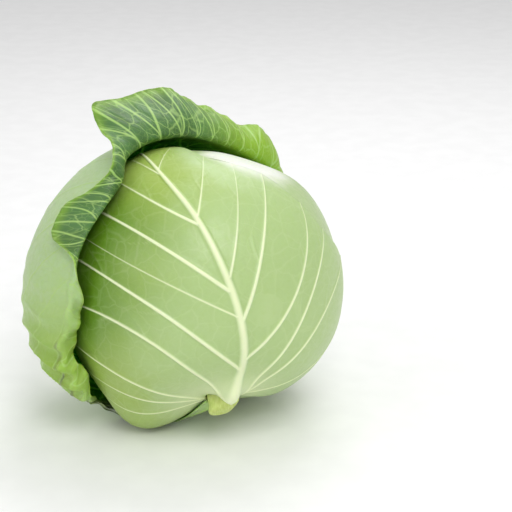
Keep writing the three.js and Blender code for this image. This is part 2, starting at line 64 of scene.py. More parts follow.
# Swellings and hollows: theta, phi, height, width
HEAD_LOBES = [(0, 0, -16, 29), (38, 129, 12.5, 17), (30, 178, -7, 18), (145, -42, -6, 30),
              (11, -8, 8.5, 9)]
LOOSE_LOBES = [(90, 95, 16, 45), (150, 100, 8, 40), (88, 122, 8, 22), (38, 145, -2.5, 24),
               (52, 121, -3.5, 10)]
RIGHT_LOBES = [(122, -62, 2.8, 20)]

# Ribs: height and half width at their root and at their thin end
MIDRIB = (2.8, 0.7, 5.6, 1.5)
SIDE_RIB = (1.4, 0.4, 2.7, 1.0)
FORK = (0.45, 0.15, 2.3, 1.5)

# The midrib widens and rises into the stem: over this share, by this height and half width
FLARE = (0.16, 2.6, 5)

STEM_AXIS = np.array([
    math.sin(STEM_TILT) * math.sin(STEM_TURN),
    -math.sin(STEM_TILT) * math.cos(STEM_TURN),
    -math.cos(STEM_TILT)])
FRONT_AXIS = np.array([
    math.cos(STEM_TILT) * math.sin(STEM_TURN),
    -math.cos(STEM_TILT) * math.cos(STEM_TURN),
    math.sin(STEM_TILT)])
LEFT_AXIS = np.cross(STEM_AXIS, FRONT_AXIS)


def direction(theta, phi):
    theta, phi = math.radians(theta), math.radians(phi)
    across = math.cos(phi) * FRONT_AXIS + math.sin(phi) * LEFT_AXIS
    return math.cos(theta) * STEM_AXIS + math.sin(theta) * across


def angle_to(n, axis):
    return np.degrees(np.arccos(np.clip(n @ axis, -1, 1)))


def lobe_sum(lobes, n, fullness=1.0):
    total = np.zeros(n.shape[:-1])
    for theta, phi, height, width in lobes:
        share = fullness if height > 0 else 1.0
        total += share * height * np.exp(-(angle_to(n, direction(theta, phi)) / width) ** 2)
    return total


def layer_radius(n, layer):
    lobes = lobe_sum(HEAD_LOBES, n, 1 - layer * LAYER_FULLNESS)
    return HEAD_RADIUS + lobes - layer * LAYER_STEP


def loose_radius(n):
    return HEAD_RADIUS + lobe_sum(HEAD_LOBES, n) + LOOSE_GAP + lobe_sum(LOOSE_LOBES, n)


def on_head(n, radius):
    return CENTRE + n * radius[..., None]


def unit(v):
    return v / np.maximum(np.linalg.norm(v, axis=-1, keepdims=True), 1e-9)


def smoothstep(low, high, value):
    share = np.clip((value - low) / (high - low), 0, 1)
    return share * share * (3 - 2 * share)


def smooth_row(rows, w):
    """A smooth curve through rows of numbers at w = 0, 1, 2 ..."""
    rows = np.asarray(rows, float)
    w = np.asarray(w, float)
    i = np.minimum(w.astype(int), len(rows) - 2)
    f = (w - i)[..., None]
    padded = np.concatenate([[2 * rows[0] - rows[1]], rows, [2 * rows[-1] - rows[-2]]])
    a, b, c, d = padded[i], padded[i + 1], padded[i + 2], padded[i + 3]
    return 0.5 * (2 * b + (c - a) * f + (2 * a - 5 * b + 4 * c - d) * f ** 2
                  + (3 * b - a - 3 * c + d) * f ** 3)


def wobble(p, scale, seed):
    """Smooth noise between about -1 and 1 from a few sine waves, for points of a chart."""
    total = np.zeros(p.shape[:-1])
    for k in range(5):
        turn = 2.4 * k + seed
        step = (0.7 + 0.23 * k) / scale
        total += np.sin(p[..., 0] * math.cos(turn) * step + p[..., 1] * math.sin(turn) * step
                        + 1.7 * k + seed)
    return total / 2.6


# Half of the step along the midrib that gives its direction, and how much of the midrib's half
# width lies between its line and the start of the side rows
MIDRIB_STEP = 0.02
SHOULDER = 0.5


def root_size(lift):
    """Angular radius, in degrees, of a leaf's opening for the stem."""
    base = HEAD_RADIUS + HEAD_LOBES[0][2] + lift - LEAF_THICKNESS / 2
    return math.degrees(math.asin((STUMP_RADIUS + ROOT_GAP) / base))


def root_place(away, lift, turn):
    """Chart point on the edge of that opening, at a turn round the stem."""
    turn = np.radians(turn)
    widening = math.radians(away) / math.sin(math.radians(away))
    size = root_size(lift)
    return np.stack([size * widening * np.sin(turn), size * np.cos(turn) - away], -1)


class LeafPlan:
    """A leaf's plan. A side row is: where it starts, its middle x and y, its end x and y on the
    margin, and its rib's size. A start above 0 is a share of the midrib; below 0 it is the turn
    round the stem, in degrees, from the midrib's root."""

    def __init__(self, centre, lift, root_turn, midrib, left, right):
        self.middle = direction(*centre)
        self.y_axis = unit(self.middle * (STEM_AXIS @ self.middle) - STEM_AXIS)
        self.x_axis = direction(90, centre[1] + 90)
        self.away = centre[0]
        self.lift = lift
        self.root_radius = root_size(lift)
        self.root_turn = root_turn
        self.midrib = np.array([root_place(self.away, lift, root_turn), *midrib], float)
        steps = np.linalg.norm(np.diff(self.midrib, axis=0), axis=1)
        self.length = steps.sum()
        self.shares = np.concatenate([[0], np.cumsum(steps)]) / self.length
        self.sides = {1: np.array(left, float), -1: np.array(right, float)}

    def at(self, p):
        """Directions from the head's centre for points of the chart."""
        away = np.maximum(np.linalg.norm(p, axis=-1, keepdims=True), 1e-9)
        across = np.sin(np.radians(away)) / away
        return (np.cos(np.radians(away)) * self.middle
                + p[..., :1] * across * self.x_axis + p[..., 1:] * across * self.y_axis)

    def on_midrib(self, share):
        w = np.interp(np.clip(share, 0, 1), self.shares, np.arange(len(self.shares)))
        return smooth_row(self.midrib, w)

    def shoulder(self, share):
        half = (MIDRIB[2] + (MIDRIB[3] - MIDRIB[2]) * share) / MM_PER_DEGREE
        return SHOULDER * half * (1 - share ** 8)

    def start_share(self, side, w):
        rows = self.sides[side]
        turn_length = math.radians(self.root_radius)
        lengths = np.where(rows[:, 0] < 0, rows[:, 0] * turn_length, rows[:, 0] * self.length)
        length = np.interp(w, np.arange(len(rows)), lengths)
        return np.where(length < 0, length / turn_length, length / self.length)

    def start_point(self, side, start):
        start = np.asarray(start, float)
        share = np.clip(start, 0, 1)
        ahead = self.on_midrib(share + MIDRIB_STEP) - self.on_midrib(share - MIDRIB_STEP)
        ahead = unit(ahead)
        across = np.stack([ahead[..., 1], -ahead[..., 0]], -1)
        up = self.on_midrib(share) + side * across * self.shoulder(share)[..., None]
        root_half = math.degrees(self.shoulder(0) / self.root_radius)
        round_stem = root_place(self.away, self.lift, self.root_turn + side * (root_half - start))
        return np.where((start >= 0)[..., None], up, round_stem)

    def point(self, side, w, t):
        """Points on the rows w, at the shares t of the way from the midrib to the margin."""
        start = self.start_point(side, self.start_share(side, w))
        row = smooth_row(self.sides[side], w)
        via, end = row[..., 1:3], row[..., 3:5]
        control = 2 * via - (start + end) / 2
        t = np.asarray(t, float)[..., None]
        return (1 - t) ** 2 * start + 2 * t * (1 - t) * control + t ** 2 * end


def trace(points, size, shape, flare=0.0):
    """A rib as rows of x, y, height and half width."""
    share = np.linspace(0, 1, len(points))
    widening = flare * np.maximum(1 - share / FLARE[0], 0) ** 2
    height = size * (shape[0] + (shape[1] - shape[0]) * share) + widening * FLARE[1]
    half = math.sqrt(size) * (shape[2] + (shape[3] - shape[2]) * share) + widening * FLARE[2]
    return np.column_stack([points, height, half])


# Steps of a rib and of its forks, the turn at which a fork leaves its rib, and how much of that
# turn it bends back
RIB_SAMPLES = 24
FORK_STEPS = 8
FORK_TURN = 42
FORK_BEND = 0.7


def fork(base, ahead, turn, length):
    """A small vein that leaves its rib at a turn and bends back along it."""
    points = [base]
    heading = math.atan2(ahead[1], ahead[0]) + math.radians(turn)
    for _ in range(FORK_STEPS):
        heading -= math.radians(turn) * FORK_BEND / FORK_STEPS
        step = length / FORK_STEPS * np.array([math.cos(heading), math.sin(heading)])
        points.append(points[-1] + step)
    return np.array(points)


def ribs_of(plan, fork_places, fork_length):
    """The midrib with the side ribs, and their forks. Small waves keep the forks uneven."""
    share = np.linspace(0, 1, RIB_SAMPLES + 1)
    lines = [trace(plan.on_midrib(share), 1, MIDRIB, 1)]
    forks = []
    for side, rows in plan.sides.items():
        for w, row in enumerate(rows):
            if row[5] <= 0:
                continue
            line = plan.point(side, np.full(len(share), float(w)), share)
            lines.append(trace(line, row[5], SIDE_RIB))
            for k, place in enumerate(fork_places):
                place = place + 0.035 * math.sin(5.1 * w + 2.3 * k + side)
                i = int(place * RIB_SAMPLES)
                sign = side if (k + w) % 2 else -side
                length = fork_length * (1.15 - 0.6 * place) * (1 + 0.25 * math.sin(3.3 * w + 1.9 * k))
                curve = fork(line[i], line[i + 1] - line[i], sign * FORK_TURN, length)
                forks.append(trace(curve, (0.5 + 0.5 * row[5]) * (1.1 - 0.5 * place), FORK))
    return lines, forks


# How far from a rib its height and colour are looked for, in degrees
RIB_MARGIN = 4

# Share of a rib's half width that is pale, for the ribs and for the forks of two kinds of leaf
PALE_RIB = 0.62
PALE_FORK = 0.7
PALE_LOOSE_FORK = 0.8


def rib_field(lines, p, narrow):
    """Height of the ribs over points of a chart, and how much the ribs' pale colour shows."""
    height = np.zeros(len(p))
    pale = np.zeros(len(p))
    for line in lines:
        low = line[:, :2].min(0) - RIB_MARGIN
        high = line[:, :2].max(0) + RIB_MARGIN
        near = np.flatnonzero(((p > low) & (p < high)).all(1))
        if not len(near):
            continue
        q = p[near]
        best = np.zeros(len(near))
        best_pale = np.zeros(len(near))
        for a, b in zip(line[:-1], line[1:]):
            step = b[:2] - a[:2]
            share = np.clip((q - a[:2]) @ step / max(step @ step, 1e-9), 0, 1)
            away = np.linalg.norm(q - a[:2] - share[:, None] * step, axis=1) * MM_PER_DEGREE
            half = a[3] + (b[3] - a[3]) * share
            tall = a[2] + (b[2] - a[2]) * share
            across = np.clip(away / half, 0, 1)
            best = np.maximum(best, tall * np.cos(across * math.pi / 2) ** 2)
            shown = np.clip(1.25 - away / (narrow * half), 0, 1) * np.clip(0.35 + tall, 0, 1)
            best_pale = np.maximum(best_pale, shown)
        height[near] = np.maximum(height[near], best)
        pale[near] = np.maximum(pale[near], best_pale)
    return height, pale


# Fine grid rows between two ribs: close together at the ribs
ROW_PLACES = [0, 0.03, 0.06, 0.1, 0.15, 0.21, 0.28, 0.35, 0.42, 0.5, 0.58, 0.65, 0.72, 0.79,
              0.85, 0.9, 0.94, 0.97]


def row_places(plan, side, every):
    count = len(plan.sides[side]) - 1
    places = ROW_PLACES[::every]
    return np.array([k + f for k in range(count) for f in places] + [count], float)


def zip_lines(first, first_share, second, second_share):
    """Triangles between two lines of vertices that run side by side."""
    triangles = []
    i = j = 0
    while i < len(first) - 1 or j < len(second) - 1:
        step_first = j == len(second) - 1 or (
            i < len(first) - 1 and first_share[i + 1] <= second_share[j + 1])
        if step_first:
            triangles.append((first[i], second[j], first[i + 1]))
            i += 1
        else:
            triangles.append((first[i], second[j], second[j + 1]))
            j += 1
    return triangles


MIDRIB_POINTS = 121


def leaf_grid(plan, columns, every, rim=0):
    """The sheet of a leaf as triangles between points: x, y, share of the rolled rim and share of
    the way from the midrib to the margin or fold. The rows of both sides meet along the midrib,
    and the last `rim` columns lie past the fold."""
    charted = []
    triangles = []
    middle_share = np.linspace(0, 1, MIDRIB_POINTS)
    middle = np.arange(len(middle_share))
    charted.append(np.column_stack([plan.on_midrib(middle_share), np.zeros((len(middle), 2))]))
    offset = len(middle)
    for side in (1, -1):
        w = row_places(plan, side, every)
        t = np.linspace(0, 1, columns + 1)
        body = plan.point(side, w[:, None], t[None, :])
        shares = np.broadcast_to(np.stack([0 * t, t], -1), body.shape)
        body = np.concatenate([body, shares], -1)
        if rim:
            past = np.repeat(body[:, -1:], rim, axis=1)
            past[..., 2] = np.linspace(0, 1, rim + 1)[1:]
            body = np.concatenate([body, past], 1)
        rows, cols = body.shape[:2]
        index = offset + np.arange(rows * cols).reshape(rows, cols)
        charted.append(body.reshape(-1, 4))
        a, b = index[:-1, :-1].ravel(), index[:-1, 1:].ravel()
        c, d = index[1:, 1:].ravel(), index[1:, :-1].ravel()
        quads = np.concatenate([np.column_stack([a, b, c]), np.column_stack([a, c, d])])
        share = plan.start_share(side, w)
        first = max(int(np.argmax(share >= 0)) - 1, 0)
        strip = np.array(zip_lines(middle, middle_share, index[first:, 0], share[first:]))
        both = np.concatenate([quads, strip])
        triangles.append(both if side > 0 else both[:, ::-1])
        offset += rows * cols
    return np.concatenate(charted), np.concatenate(triangles)


def weld(charted, triangles):
    """Joins vertices that lie in one place of the chart, and drops empty triangles."""
    keys = np.round(charted[:, :3], 3)
    _, keep, where = np.unique(keys, axis=0, return_index=True, return_inverse=True)
    triangles = where.ravel()[triangles]
    a, b, c = triangles.T
    return charted[keep], triangles[(a != b) & (b != c) & (a != c)]


def sheet_normals(points, triangles):
    a, b, c = (points[triangles[:, k]] for k in range(3))
    cross = np.cross(b - a, c - a)
    normals = np.zeros_like(points)
    for k in range(3):
        np.add.at(normals, triangles[:, k], cross)
    return unit(normals)


def thick_mesh(name, points, triangles, along, relief, floor, values):
    """A closed mesh from a sheet: raised along `along` by half the thickness and the relief on
    its outer face, lowered by half the thickness on its inner face, and walled at its margin.
    values are colour attributes of the sheet; the attribute inner marks the inner face."""
    if (sheet_normals(points, triangles) * along).sum() < 0:
        triangles = triangles[:, ::-1]
    half = LEAF_THICKNESS / 2
    outer = points + along * (half + relief)[:, None]
    inner = points - along * half
    outer[:, 2] = np.maximum(outer[:, 2], floor)
    inner[:, 2] = np.maximum(inner[:, 2], floor + LEAF_THICKNESS)
    count = len(points)
    ends = np.concatenate([triangles[:, [0, 1]], triangles[:, [1, 2]], triangles[:, [2, 0]]])
    keys = ends[:, 0].astype(np.int64) * count + ends[:, 1]
    back = ends[:, 1].astype(np.int64) * count + ends[:, 0]
    rim = ends[~np.isin(keys, back)]
    walls = np.concatenate([
        np.column_stack([rim[:, 1], rim[:, 0], rim[:, 0] + count]),
        np.column_stack([rim[:, 1], rim[:, 0] + count, rim[:, 1] + count])])
    faces = np.concatenate([triangles, triangles[:, ::-1] + count, walls])
    mesh = bpy.data.meshes.new(name)
    mesh.from_pydata((np.concatenate([outer, inner]) * MM).tolist(), [], faces.tolist())
    mesh.polygons.foreach_set("use_smooth", np.ones(len(faces), bool))
    for key, value in values.items():
        add_attribute(mesh, key, np.concatenate([value, value]))
    add_attribute(mesh, "inner", np.concatenate([np.zeros(count), np.ones(count)]))
    return bpy.data.objects.new(name, mesh)


def add_attribute(mesh, name, value):
    value = np.asarray(value, np.float32)
    if value.ndim == 1:
        mesh.attributes.new(name, "FLOAT", "POINT").data.foreach_set("value", value)
    else:
        mesh.attributes.new(name, "FLOAT_VECTOR", "POINT").data.foreach_set("vector", value.ravel())


# Front wrapper leaf
FRONT_TIP = (22, 84)
front_plan = LeafPlan(
    centre=(65, 14), lift=0, root_turn=-18,
    midrib=[(-11, -36), (-12, -10), (-5, 22), (8, 52), FRONT_TIP],
    left=[
        (-155, 33, -83, 58, -72, 0),
        (-150, 36, -71, 66, -58, 0),
        (-143, 39, -58, 72, -44, 0.5),
        (-127, 42, -46, 78, -29, 0.6),
        (-110, 46, -30, 84, -11, 0.8),
        (-4, 31, -10, 84, 6, 1),
        (0.14, 26, 3, 76, 36, 1),
        (0.31, 25, 14, 71, 50, 0.3),
        (0.38, 26, 31, 64, 61, 0.8),
        (0.56, 19, 44, 47, 76, 0.5),
        (0.76, 20, 66, 32, 85, 0.3),
        (1, *FRONT_TIP, *FRONT_TIP, 0)],
    right=[
        (-115, -36, -82, -62, -76, 0),
        (-95, -52, -56, -86, -24, 0.6),
        (-70, -48, -28, -80, 0, 0.9),
        (-30, -43, -16, -63, 15, 0.9),
        (0.18, -40, -6, -53, 29, 0.8),
        (0.3, -27, 12, -38, 46, 0.8),
        (0.41, -20, 26, -25, 53, 0.4),
        (0.58, -9, 42, -13, 60, 0.4),
        (0.78, 6, 62, 0, 79, 0.3),
        (1, *FRONT_TIP, *FRONT_TIP, 0)])

# The ribs of the other leaves bow outward and towards the root, as shares of their rise and width
FAN_BOW = (0.08, 0.12)


def fan_leaf(centre, lift, root_turn, midrib, turns, starts, reach, rib_size, base=()):
    """A leaf whose side rows end at the given turns from its tip, on the margin reach(turn).
    base gives the middles of the first rows of each side."""
    sides = []
    root = root_place(centre[0], lift, root_turn)
    tip = np.array(midrib[-1], float)
    for k, sign in enumerate((1, -1)):
        rows = []
        for i, (turn, start) in enumerate(zip(turns, starts)):
            if turn == 0:
                rows.append((1, *tip, *tip, 0))
                continue
            out = reach(sign * turn)
            end = out * np.array([sign * math.sin(math.radians(turn)), math.cos(math.radians(turn))])
            first = root + (tip - root) * max(start, 0)
            dx, dy = end - first
            via = (first + end) / 2 + (sign * FAN_BOW[0] * abs(dy), -FAN_BOW[1] * abs(dx))
            if base and i < len(base[k]):
                via = base[k][i]
            rows.append((start, *via, *end, 0 if i == 0 else rib_size))
        sides.append(rows)
    return LeafPlan(centre, lift, root_turn, midrib, *sides)


# The wrapper leaves of the sides. Their margin is a little waved: height, and turns a wave
WRAP_TURNS = (152, 134, 116, 98, 80, 62, 45, 29, 14, 0)
WRAP_STARTS = (-95, -60, -30, 0.05, 0.16, 0.3, 0.45, 0.6, 0.78, 1)
WRAP_TIP_WIDTH = 75
WRAP_WAVE = 1.5
WRAP_WAVE_TURN = 33
RIGHT_REACH = (84, 112)
LEFT_REACH = (80, 82)


def wrap_reach(side, tip):
    """The margin's reach in degrees for a turn: side at the sides and tip at the leaf's tip."""
    return lambda turn: (side + (tip - side) * math.exp(-(turn / WRAP_TIP_WIDTH) ** 2)
                         + WRAP_WAVE * math.sin(turn / WRAP_WAVE_TURN * 2 * math.pi))


# The right leaf reaches further towards the crown on its front side: turn, half width, height
RIGHT_BULGE = (47, 24, 26)


def right_reach(turn):
    place, half, height = RIGHT_BULGE
    return wrap_reach(*RIGHT_REACH)(turn) + height * math.exp(-((turn - place) / half) ** 2)


right_plan = fan_leaf(
    (75, -125), -LAYER_STEP, 0, [(3, -30), (4, 0), (2, 50), (0, 112)],
    WRAP_TURNS, WRAP_STARTS, right_reach, 0.8)
left_plan = fan_leaf(
    (75, 125), -2 * LAYER_STEP, 0, [(-3, -30), (-4, 0), (-2, 40), (0, 82)],
    WRAP_TURNS, WRAP_STARTS, wrap_reach(*LEFT_REACH), 0.8)

# Rolled rim of the loose leaf by the turn from its tip: how far out the fold lies (degrees),
# the reach and lift of the bend, and from the fold to the margin: outward, off and along (mm)
RIM = [
    (-180, 78, 2, 1, 3, 1, 0), (-170, 71, 2, 1, 3, 1, 0), (-162, 64, 2, 1, 2, 1, 0),
    (-155, 66, 2, 1, 3, 1, 0), (-149, 76, 3, 1, 4, -3, 2), (-140, 80, 4, 1, 5, -6, 5),
    (-132, 80, 4, 1, 5, -8, 5), (-124, 84, 4, 1, 2, -8, 2), (-116, 88, 3, 1, 4, -8, 1),
    (-106, 94, 3, 1, 2, -8, -4), (-97, 96, 3, 1, 5, -5, -4), (-89, 94, 4, 3, 2, 5, 3),
    (-80, 96, 6, 6, -18, 5, -5), (-71, 98, 6, 7, -22, 6, -4), (-62, 98, 6, 8, -8, 9, -6),
    (-53, 97, 5, 8, 3, 11, -6), (-46, 90, 6, 8, 2, 13, -4), (-40, 87, 7, 10, -12, 21, -9),
    (-35, 87, 8, 12, -24, 29, -13), (-28, 89, 8, 12, -25, 26, -6), (-21, 88, 8, 12, -24, 29, -4),
    (-12, 87, 8, 12, -19, 27, -4), (0, 87, 8, 12, -17, 22, -6), (14, 87, 8, 12, -12, 20, -4),
    (27, 88, 8, 12, -10, 24, -5),
    (38, 86, 5, 7, -9, 15, -6), (52, 80, 4, 3, 0, 5, 0), (75, 82, 4, 3, 7, 7, 0),
    (110, 86, 4, 3, 8, 8, 0), (132, 83, 3, 2, 5, 4, 0), (160, 78, 2, 1, 2, 1, 0),
    (180, 78, 2, 1, 3, 1, 0)]
RIM_TURNS = [row[0] for row in RIM]


def rim_at(turn):
    return smooth_row(RIM, np.interp(turn, RIM_TURNS, np.arange(len(RIM))))


outer_plan = fan_leaf(
    (119.5, 153), LOOSE_GAP, 10, [(6, -90), (6, -60), (2, 0), (0, 87)],
    (158, 140, 124, 108, 94, 80, 68, 56, 45, 34, 22, 11, 0),
    (-35, 0.16, 0.2, 0.24, 0.29, 0.35, 0.43, 0.51, 0.6, 0.69, 0.79, 0.89, 1),
    lambda turn: float(rim_at(turn)[1]), 0.8,
    base=[[(16, -84)], [(-2, -79), (-19, -67), (-34, -62)]])

# The step in degrees that gives the leaf's direction at the fold
RIM_PROBE = 0.5

# Ruffles of the rim, and scallops of its margin: height in mm, turns from wave to wave, and how
# they lean outward and off the leaf. They are higher at the crumpled lower left: added height,
# turn and half width.
RUFFLE = 1.5
RUFFLE_TURN = 19
RUFFLE_LEAN = (0.4, 0.6)
FRILL = 1.3
FRILL_TURN = 9.3
FRILL_LEAN = (0.9, 0.45)
CRUMPLE = 2.5
CRUMPLE_AT = (-122, 24)

# There the blade has creases too: height, turns from crease to crease, their turn and half
# width, and how far out they start and are full, in degrees
CREASE = 5.5
CREASE_TURN = 9.0
CREASE_AT = (-130, 24)
CREASE_FROM = (36, 78)


def creased(p):
    """Points of the loose leaf's blade with its creases, which run in from the margin."""
    away = np.linalg.norm(p, axis=-1)
    turn = np.degrees(np.arctan2(p[:, 0], p[:, 1]))
    place = np.exp(-((turn - CREASE_AT[0]) / CREASE_AT[1]) ** 2) * smoothstep(*CREASE_FROM, away)
    fold = np.sin(turn / CREASE_TURN * 2 * math.pi + 1.5 * np.sin(away / 6))
    bend = (0.5 + 0.5 * fold) ** 1.5
    n = outer_plan.at(p)
    return on_head(n, loose_radius(n) + CREASE * place * bend)


def loose_point(p):
    n = outer_plan.at(p)
    return on_head(n, loose_radius(n))


def rim_points(p, f):
    """Points of the rolled rim: a curve that leaves the fold in line with the leaf."""
    fold = loose_point(p)
    crease = creased(p) - fold
    away = np.linalg.norm(p, axis=-1, keepdims=True)
    turn = np.degrees(np.arctan2(p[:, 0], p[:, 1]))
    reach, lift, out, off, along = rim_at(turn).T[2:, :, None]
    step = p / away * RIM_PROBE
    outward = unit(loose_point(p + step) - fold)
    sideways = loose_point(p + np.column_stack([step[:, 1], -step[:, 0]])) - fold
    sideways = unit(sideways - (sideways * outward).sum(1, keepdims=True) * outward)
    normal = np.cross(outward, sideways)
    normal *= np.sign((normal * (fold - CENTRE)).sum(1, keepdims=True))
    a = fold + reach * outward
    b = a + lift * normal
    margin = fold + out * outward + off * normal + along * sideways
    f = f[:, None]
    curve = (1 - f) ** 3 * fold + 3 * f * (1 - f) ** 2 * a + 3 * f ** 2 * (1 - f) * b + f ** 3 * margin
    crumple = CRUMPLE * np.exp(-((turn - CRUMPLE_AT[0]) / CRUMPLE_AT[1]) ** 2)
    wave = (RUFFLE + crumple) * np.sin(turn / RUFFLE_TURN * 2 * math.pi)
    ruffle = f * f * wave[:, None]
    frill = (FRILL + 0.5 * crumple) * np.sin(turn / FRILL_TURN * 2 * math.pi + np.sin(turn / 7))
    frill += 0.3 * FRILL * np.sin(turn / 3.1 * 2 * math.pi + 2 * np.sin(turn / 9))
    scallop = f ** 3 * frill[:, None]
    return (curve + (1 - f) * crease + ruffle * (RUFFLE_LEAN[0] * outward + RUFFLE_LEAN[1] * normal)
            + scallop * (FRILL_LEAN[0] * outward + FRILL_LEAN[1] * normal))


# Ribs start to show this far from the middle of a covering leaf, and show fully there
COVER = (92, 104)


def covered(n, covering):
    """Ribs fade where another leaf covers them."""
    share = np.ones(n.shape[:-1])
    for plan in covering:
        share *= smoothstep(*COVER, angle_to(n, plan.middle))
    return share


# A pale bloom of wax is thickest on the head's lower right and thins out from there. Beside the
# rolled rim, near the crown, the pale wrapper leaves get a painted sheen, nearly white, of the light
# from above.
WAX_AT = direction(52, -50)
WAX_REACH = (45, 108)
PAINTED_SHEEN_AT = direction(132, -24)
PAINTED_SHEEN_REACH = (8, 36)

# The margin of a wrapper leaf lies down on the leaf below it, from this share of the way to it
MARGIN_DROP = 0.6
MARGIN_FROM = 0.86

# Beside the rolled rim the front leaf gets a painted shade, a darker green where the rim shades it:
# turns round the rim, and reach
PAINTED_SHADE_TURNS = (-140, -110, -75, -45)
PAINTED_SHADE_REACH = 27


def wax_and_sheen(n):
    low = 1 - smoothstep(*WAX_REACH, angle_to(n, WAX_AT))
    # painted sheen: near the crown the leaves are whitened where the light from above glances off them
    painted_sheen = 1 - smoothstep(*PAINTED_SHEEN_REACH, angle_to(n, PAINTED_SHEEN_AT))
    return low + 2 * painted_sheen


def painted_rim_shade(n):
    """How much painted shade, a darker green, the head gets at a place beside the rolled rim."""
    x, y = n @ outer_plan.x_axis, n @ outer_plan.y_axis
    turn = np.degrees(np.arctan2(x, y))
    past = angle_to(n, outer_plan.middle) - rim_at(turn)[:, 1]
    beside = smoothstep(*PAINTED_SHADE_TURNS[:2], turn) * (1 - smoothstep(*PAINTED_SHADE_TURNS[2:], turn))
    return beside * np.exp(-(np.maximum(past, 0) / PAINTED_SHADE_REACH) ** 2)


def wrapper_leaf(name, plan, layer, covering, columns, every, forks, swell, lobes=()):
    """A wrapper leaf of a layer, with softly uneven blade (swell, in mm) and forked ribs."""
    charted, triangles = weld(*leaf_grid(plan, columns, every))
    p, t = charted[:, :2], charted[:, 3]
    n = plan.at(p)
    lines, small = ribs_of(plan, *forks)
    height, pale = rib_field(lines, p, PALE_RIB)
    fine, fine_pale = rib_field(small, p, PALE_FORK)
    shown = covered(n, covering)
    from_stem = angle_to(n, STEM_AXIS) - plan.root_radius
    blade = swell * wobble(p, 9, layer) * smoothstep(4, 20, from_stem)
    drop = MARGIN_DROP * smoothstep(MARGIN_FROM, 1.0, t) * smoothstep(20, 40, from_stem)
    points = on_head(n, layer_radius(n, layer) + lobe_sum(lobes, n) + blade - drop)
    relief = np.maximum(height, fine) * shown
    floor = (layer + 1) * (LEAF_THICKNESS + FLOOR_STEP)
    values = {
        "vein": np.maximum(pale, 0.4 * fine_pale) * shown,
        "chart": np.column_stack([p, np.full(len(p), 40.0 * layer)]),
        "base": np.exp(-(np.maximum(from_stem, 0) / 14) ** 2),
        "wax_and_sheen": wax_and_sheen(n),
        "painted_rim_shade": painted_rim_shade(n),
        "young_and_backlit": np.zeros(len(p)),
    }
    return thick_mesh(name, points, triangles, n, relief, floor, values)


# Veins cross the rolled rim from the fold and fork on the way to the margin: turns from vein to
# vein, the share of the rim where they fork, and how far they part, in shares of that spacing
RIM_VEIN_TURN = 8.5
RIM_FORK = 0.3
RIM_PART = 0.42


def rim_flow(turn, f):
    """Place among the rim's veins, counted in veins, and how far their forks have parted."""
    across = turn / RIM_VEIN_TURN + 0.22 * np.sin(turn / 13) + 0.1 * f * np.sin(turn / 4 + 5 * f)
    parted = RIM_PART * np.maximum(f - RIM_FORK - 0.18 * np.sin(turn / 9), 0)
    return across, parted


# Yellower parts of the loose leaf, painted light that shines through the thin leaf: the crumpled
# lower left (turn and half width, and how far out it starts and is full), the right end of the
# rolled rim, and the margin
LOW_LEFT_AT = (-128, 26)
LOW_LEFT_FROM = (36, 76)
RIGHT_END_TURNS = (-16, 20, 50, 70)
RIGHT_END_FROM = (68, 84)
MARGIN_BACKLIT = 0.6


def painted_backlit_parts(turn, away, f):
    # painted light: how much light seems to shine through the thin loose leaf, painted as yellower
    # green
    place, half = LOW_LEFT_AT
    low_left = np.exp(-((turn - place) / half) ** 2) * smoothstep(*LOW_LEFT_FROM, away)
    along = smoothstep(*RIGHT_END_TURNS[:2], turn) * (1 - smoothstep(*RIGHT_END_TURNS[2:], turn))
    right_end = along * smoothstep(*RIGHT_END_FROM, away)
    edge = MARGIN_BACKLIT * smoothstep(MARGIN_FROM, 1.0, f)
    return np.clip(low_left + right_end + edge, 0, 1)


def outer_leaf(name, columns, every, rim, forks):
    """The loose leaf: its blade on the head, and its rim rolled outward past the fold."""
    charted, triangles = weld(*leaf_grid(outer_plan, columns, every, rim))
    p, f = charted[:, :2], charted[:, 2]
    n = outer_plan.at(p)
    away = np.linalg.norm(p, axis=1, keepdims=True)
    points = creased(p)
    on_rim = f > 0
    points[on_rim] = rim_points(p[on_rim], f[on_rim])
    turn = np.degrees(np.arctan2(p[:, 0], p[:, 1]))
    row = rim_at(turn)
    length = np.linalg.norm(row[:, 4:7], axis=1) / MM_PER_DEGREE
    flat = p * (1 + (f * length)[:, None] / np.maximum(away, 1))
    lines, small = ribs_of(outer_plan, *forks)
    height, pale = rib_field(lines, p, PALE_RIB)
    fine, fine_pale = rib_field(small, p, PALE_LOOSE_FORK)
    across, parted = rim_flow(turn, f)
    relief = np.where(on_rim, 0.3 * (1 - f), 0.6 * np.maximum(height, 0.7 * fine))
    normals = sheet_normals(points, triangles)
    facing = np.sign((normals * n)[~on_rim].sum())
    along = np.where(on_rim[:, None], facing * normals, n)
    values = {
        "vein": np.where(on_rim, 0.0, np.maximum(pale, 0.6 * fine_pale)),
        "rim": smoothstep(0, 0.06, f),
        "across": across,
        "parted": parted,
        "chart": np.column_stack([flat, np.full(len(p), 90.0)]),
        "base": np.exp(-(np.maximum(angle_to(n, STEM_AXIS) - 8, 0) / 16) ** 2),
        "wax_and_sheen": np.ones(len(p)),
        "painted_rim_shade": np.zeros(len(p)),
        "young_and_backlit": painted_backlit_parts(turn, away[:, 0], f),
    }
    return thick_mesh(name, points, triangles, along, relief, 0.0, values)


# The stem's core: how far along the stem it starts and is as wide as the stump
CORE_TOP = 41.0
CORE_TOP_RADIUS = 7.0
CORE_FOOT = 69.0

# The stump leans from this far along the stem, by this much at its cut
LEAN_FROM = 82.5
LEAN_FRONT = -2.2
LEAN_LEFT = 3.5

STUMP_SIDES = 96
STUMP_ROWS = 61


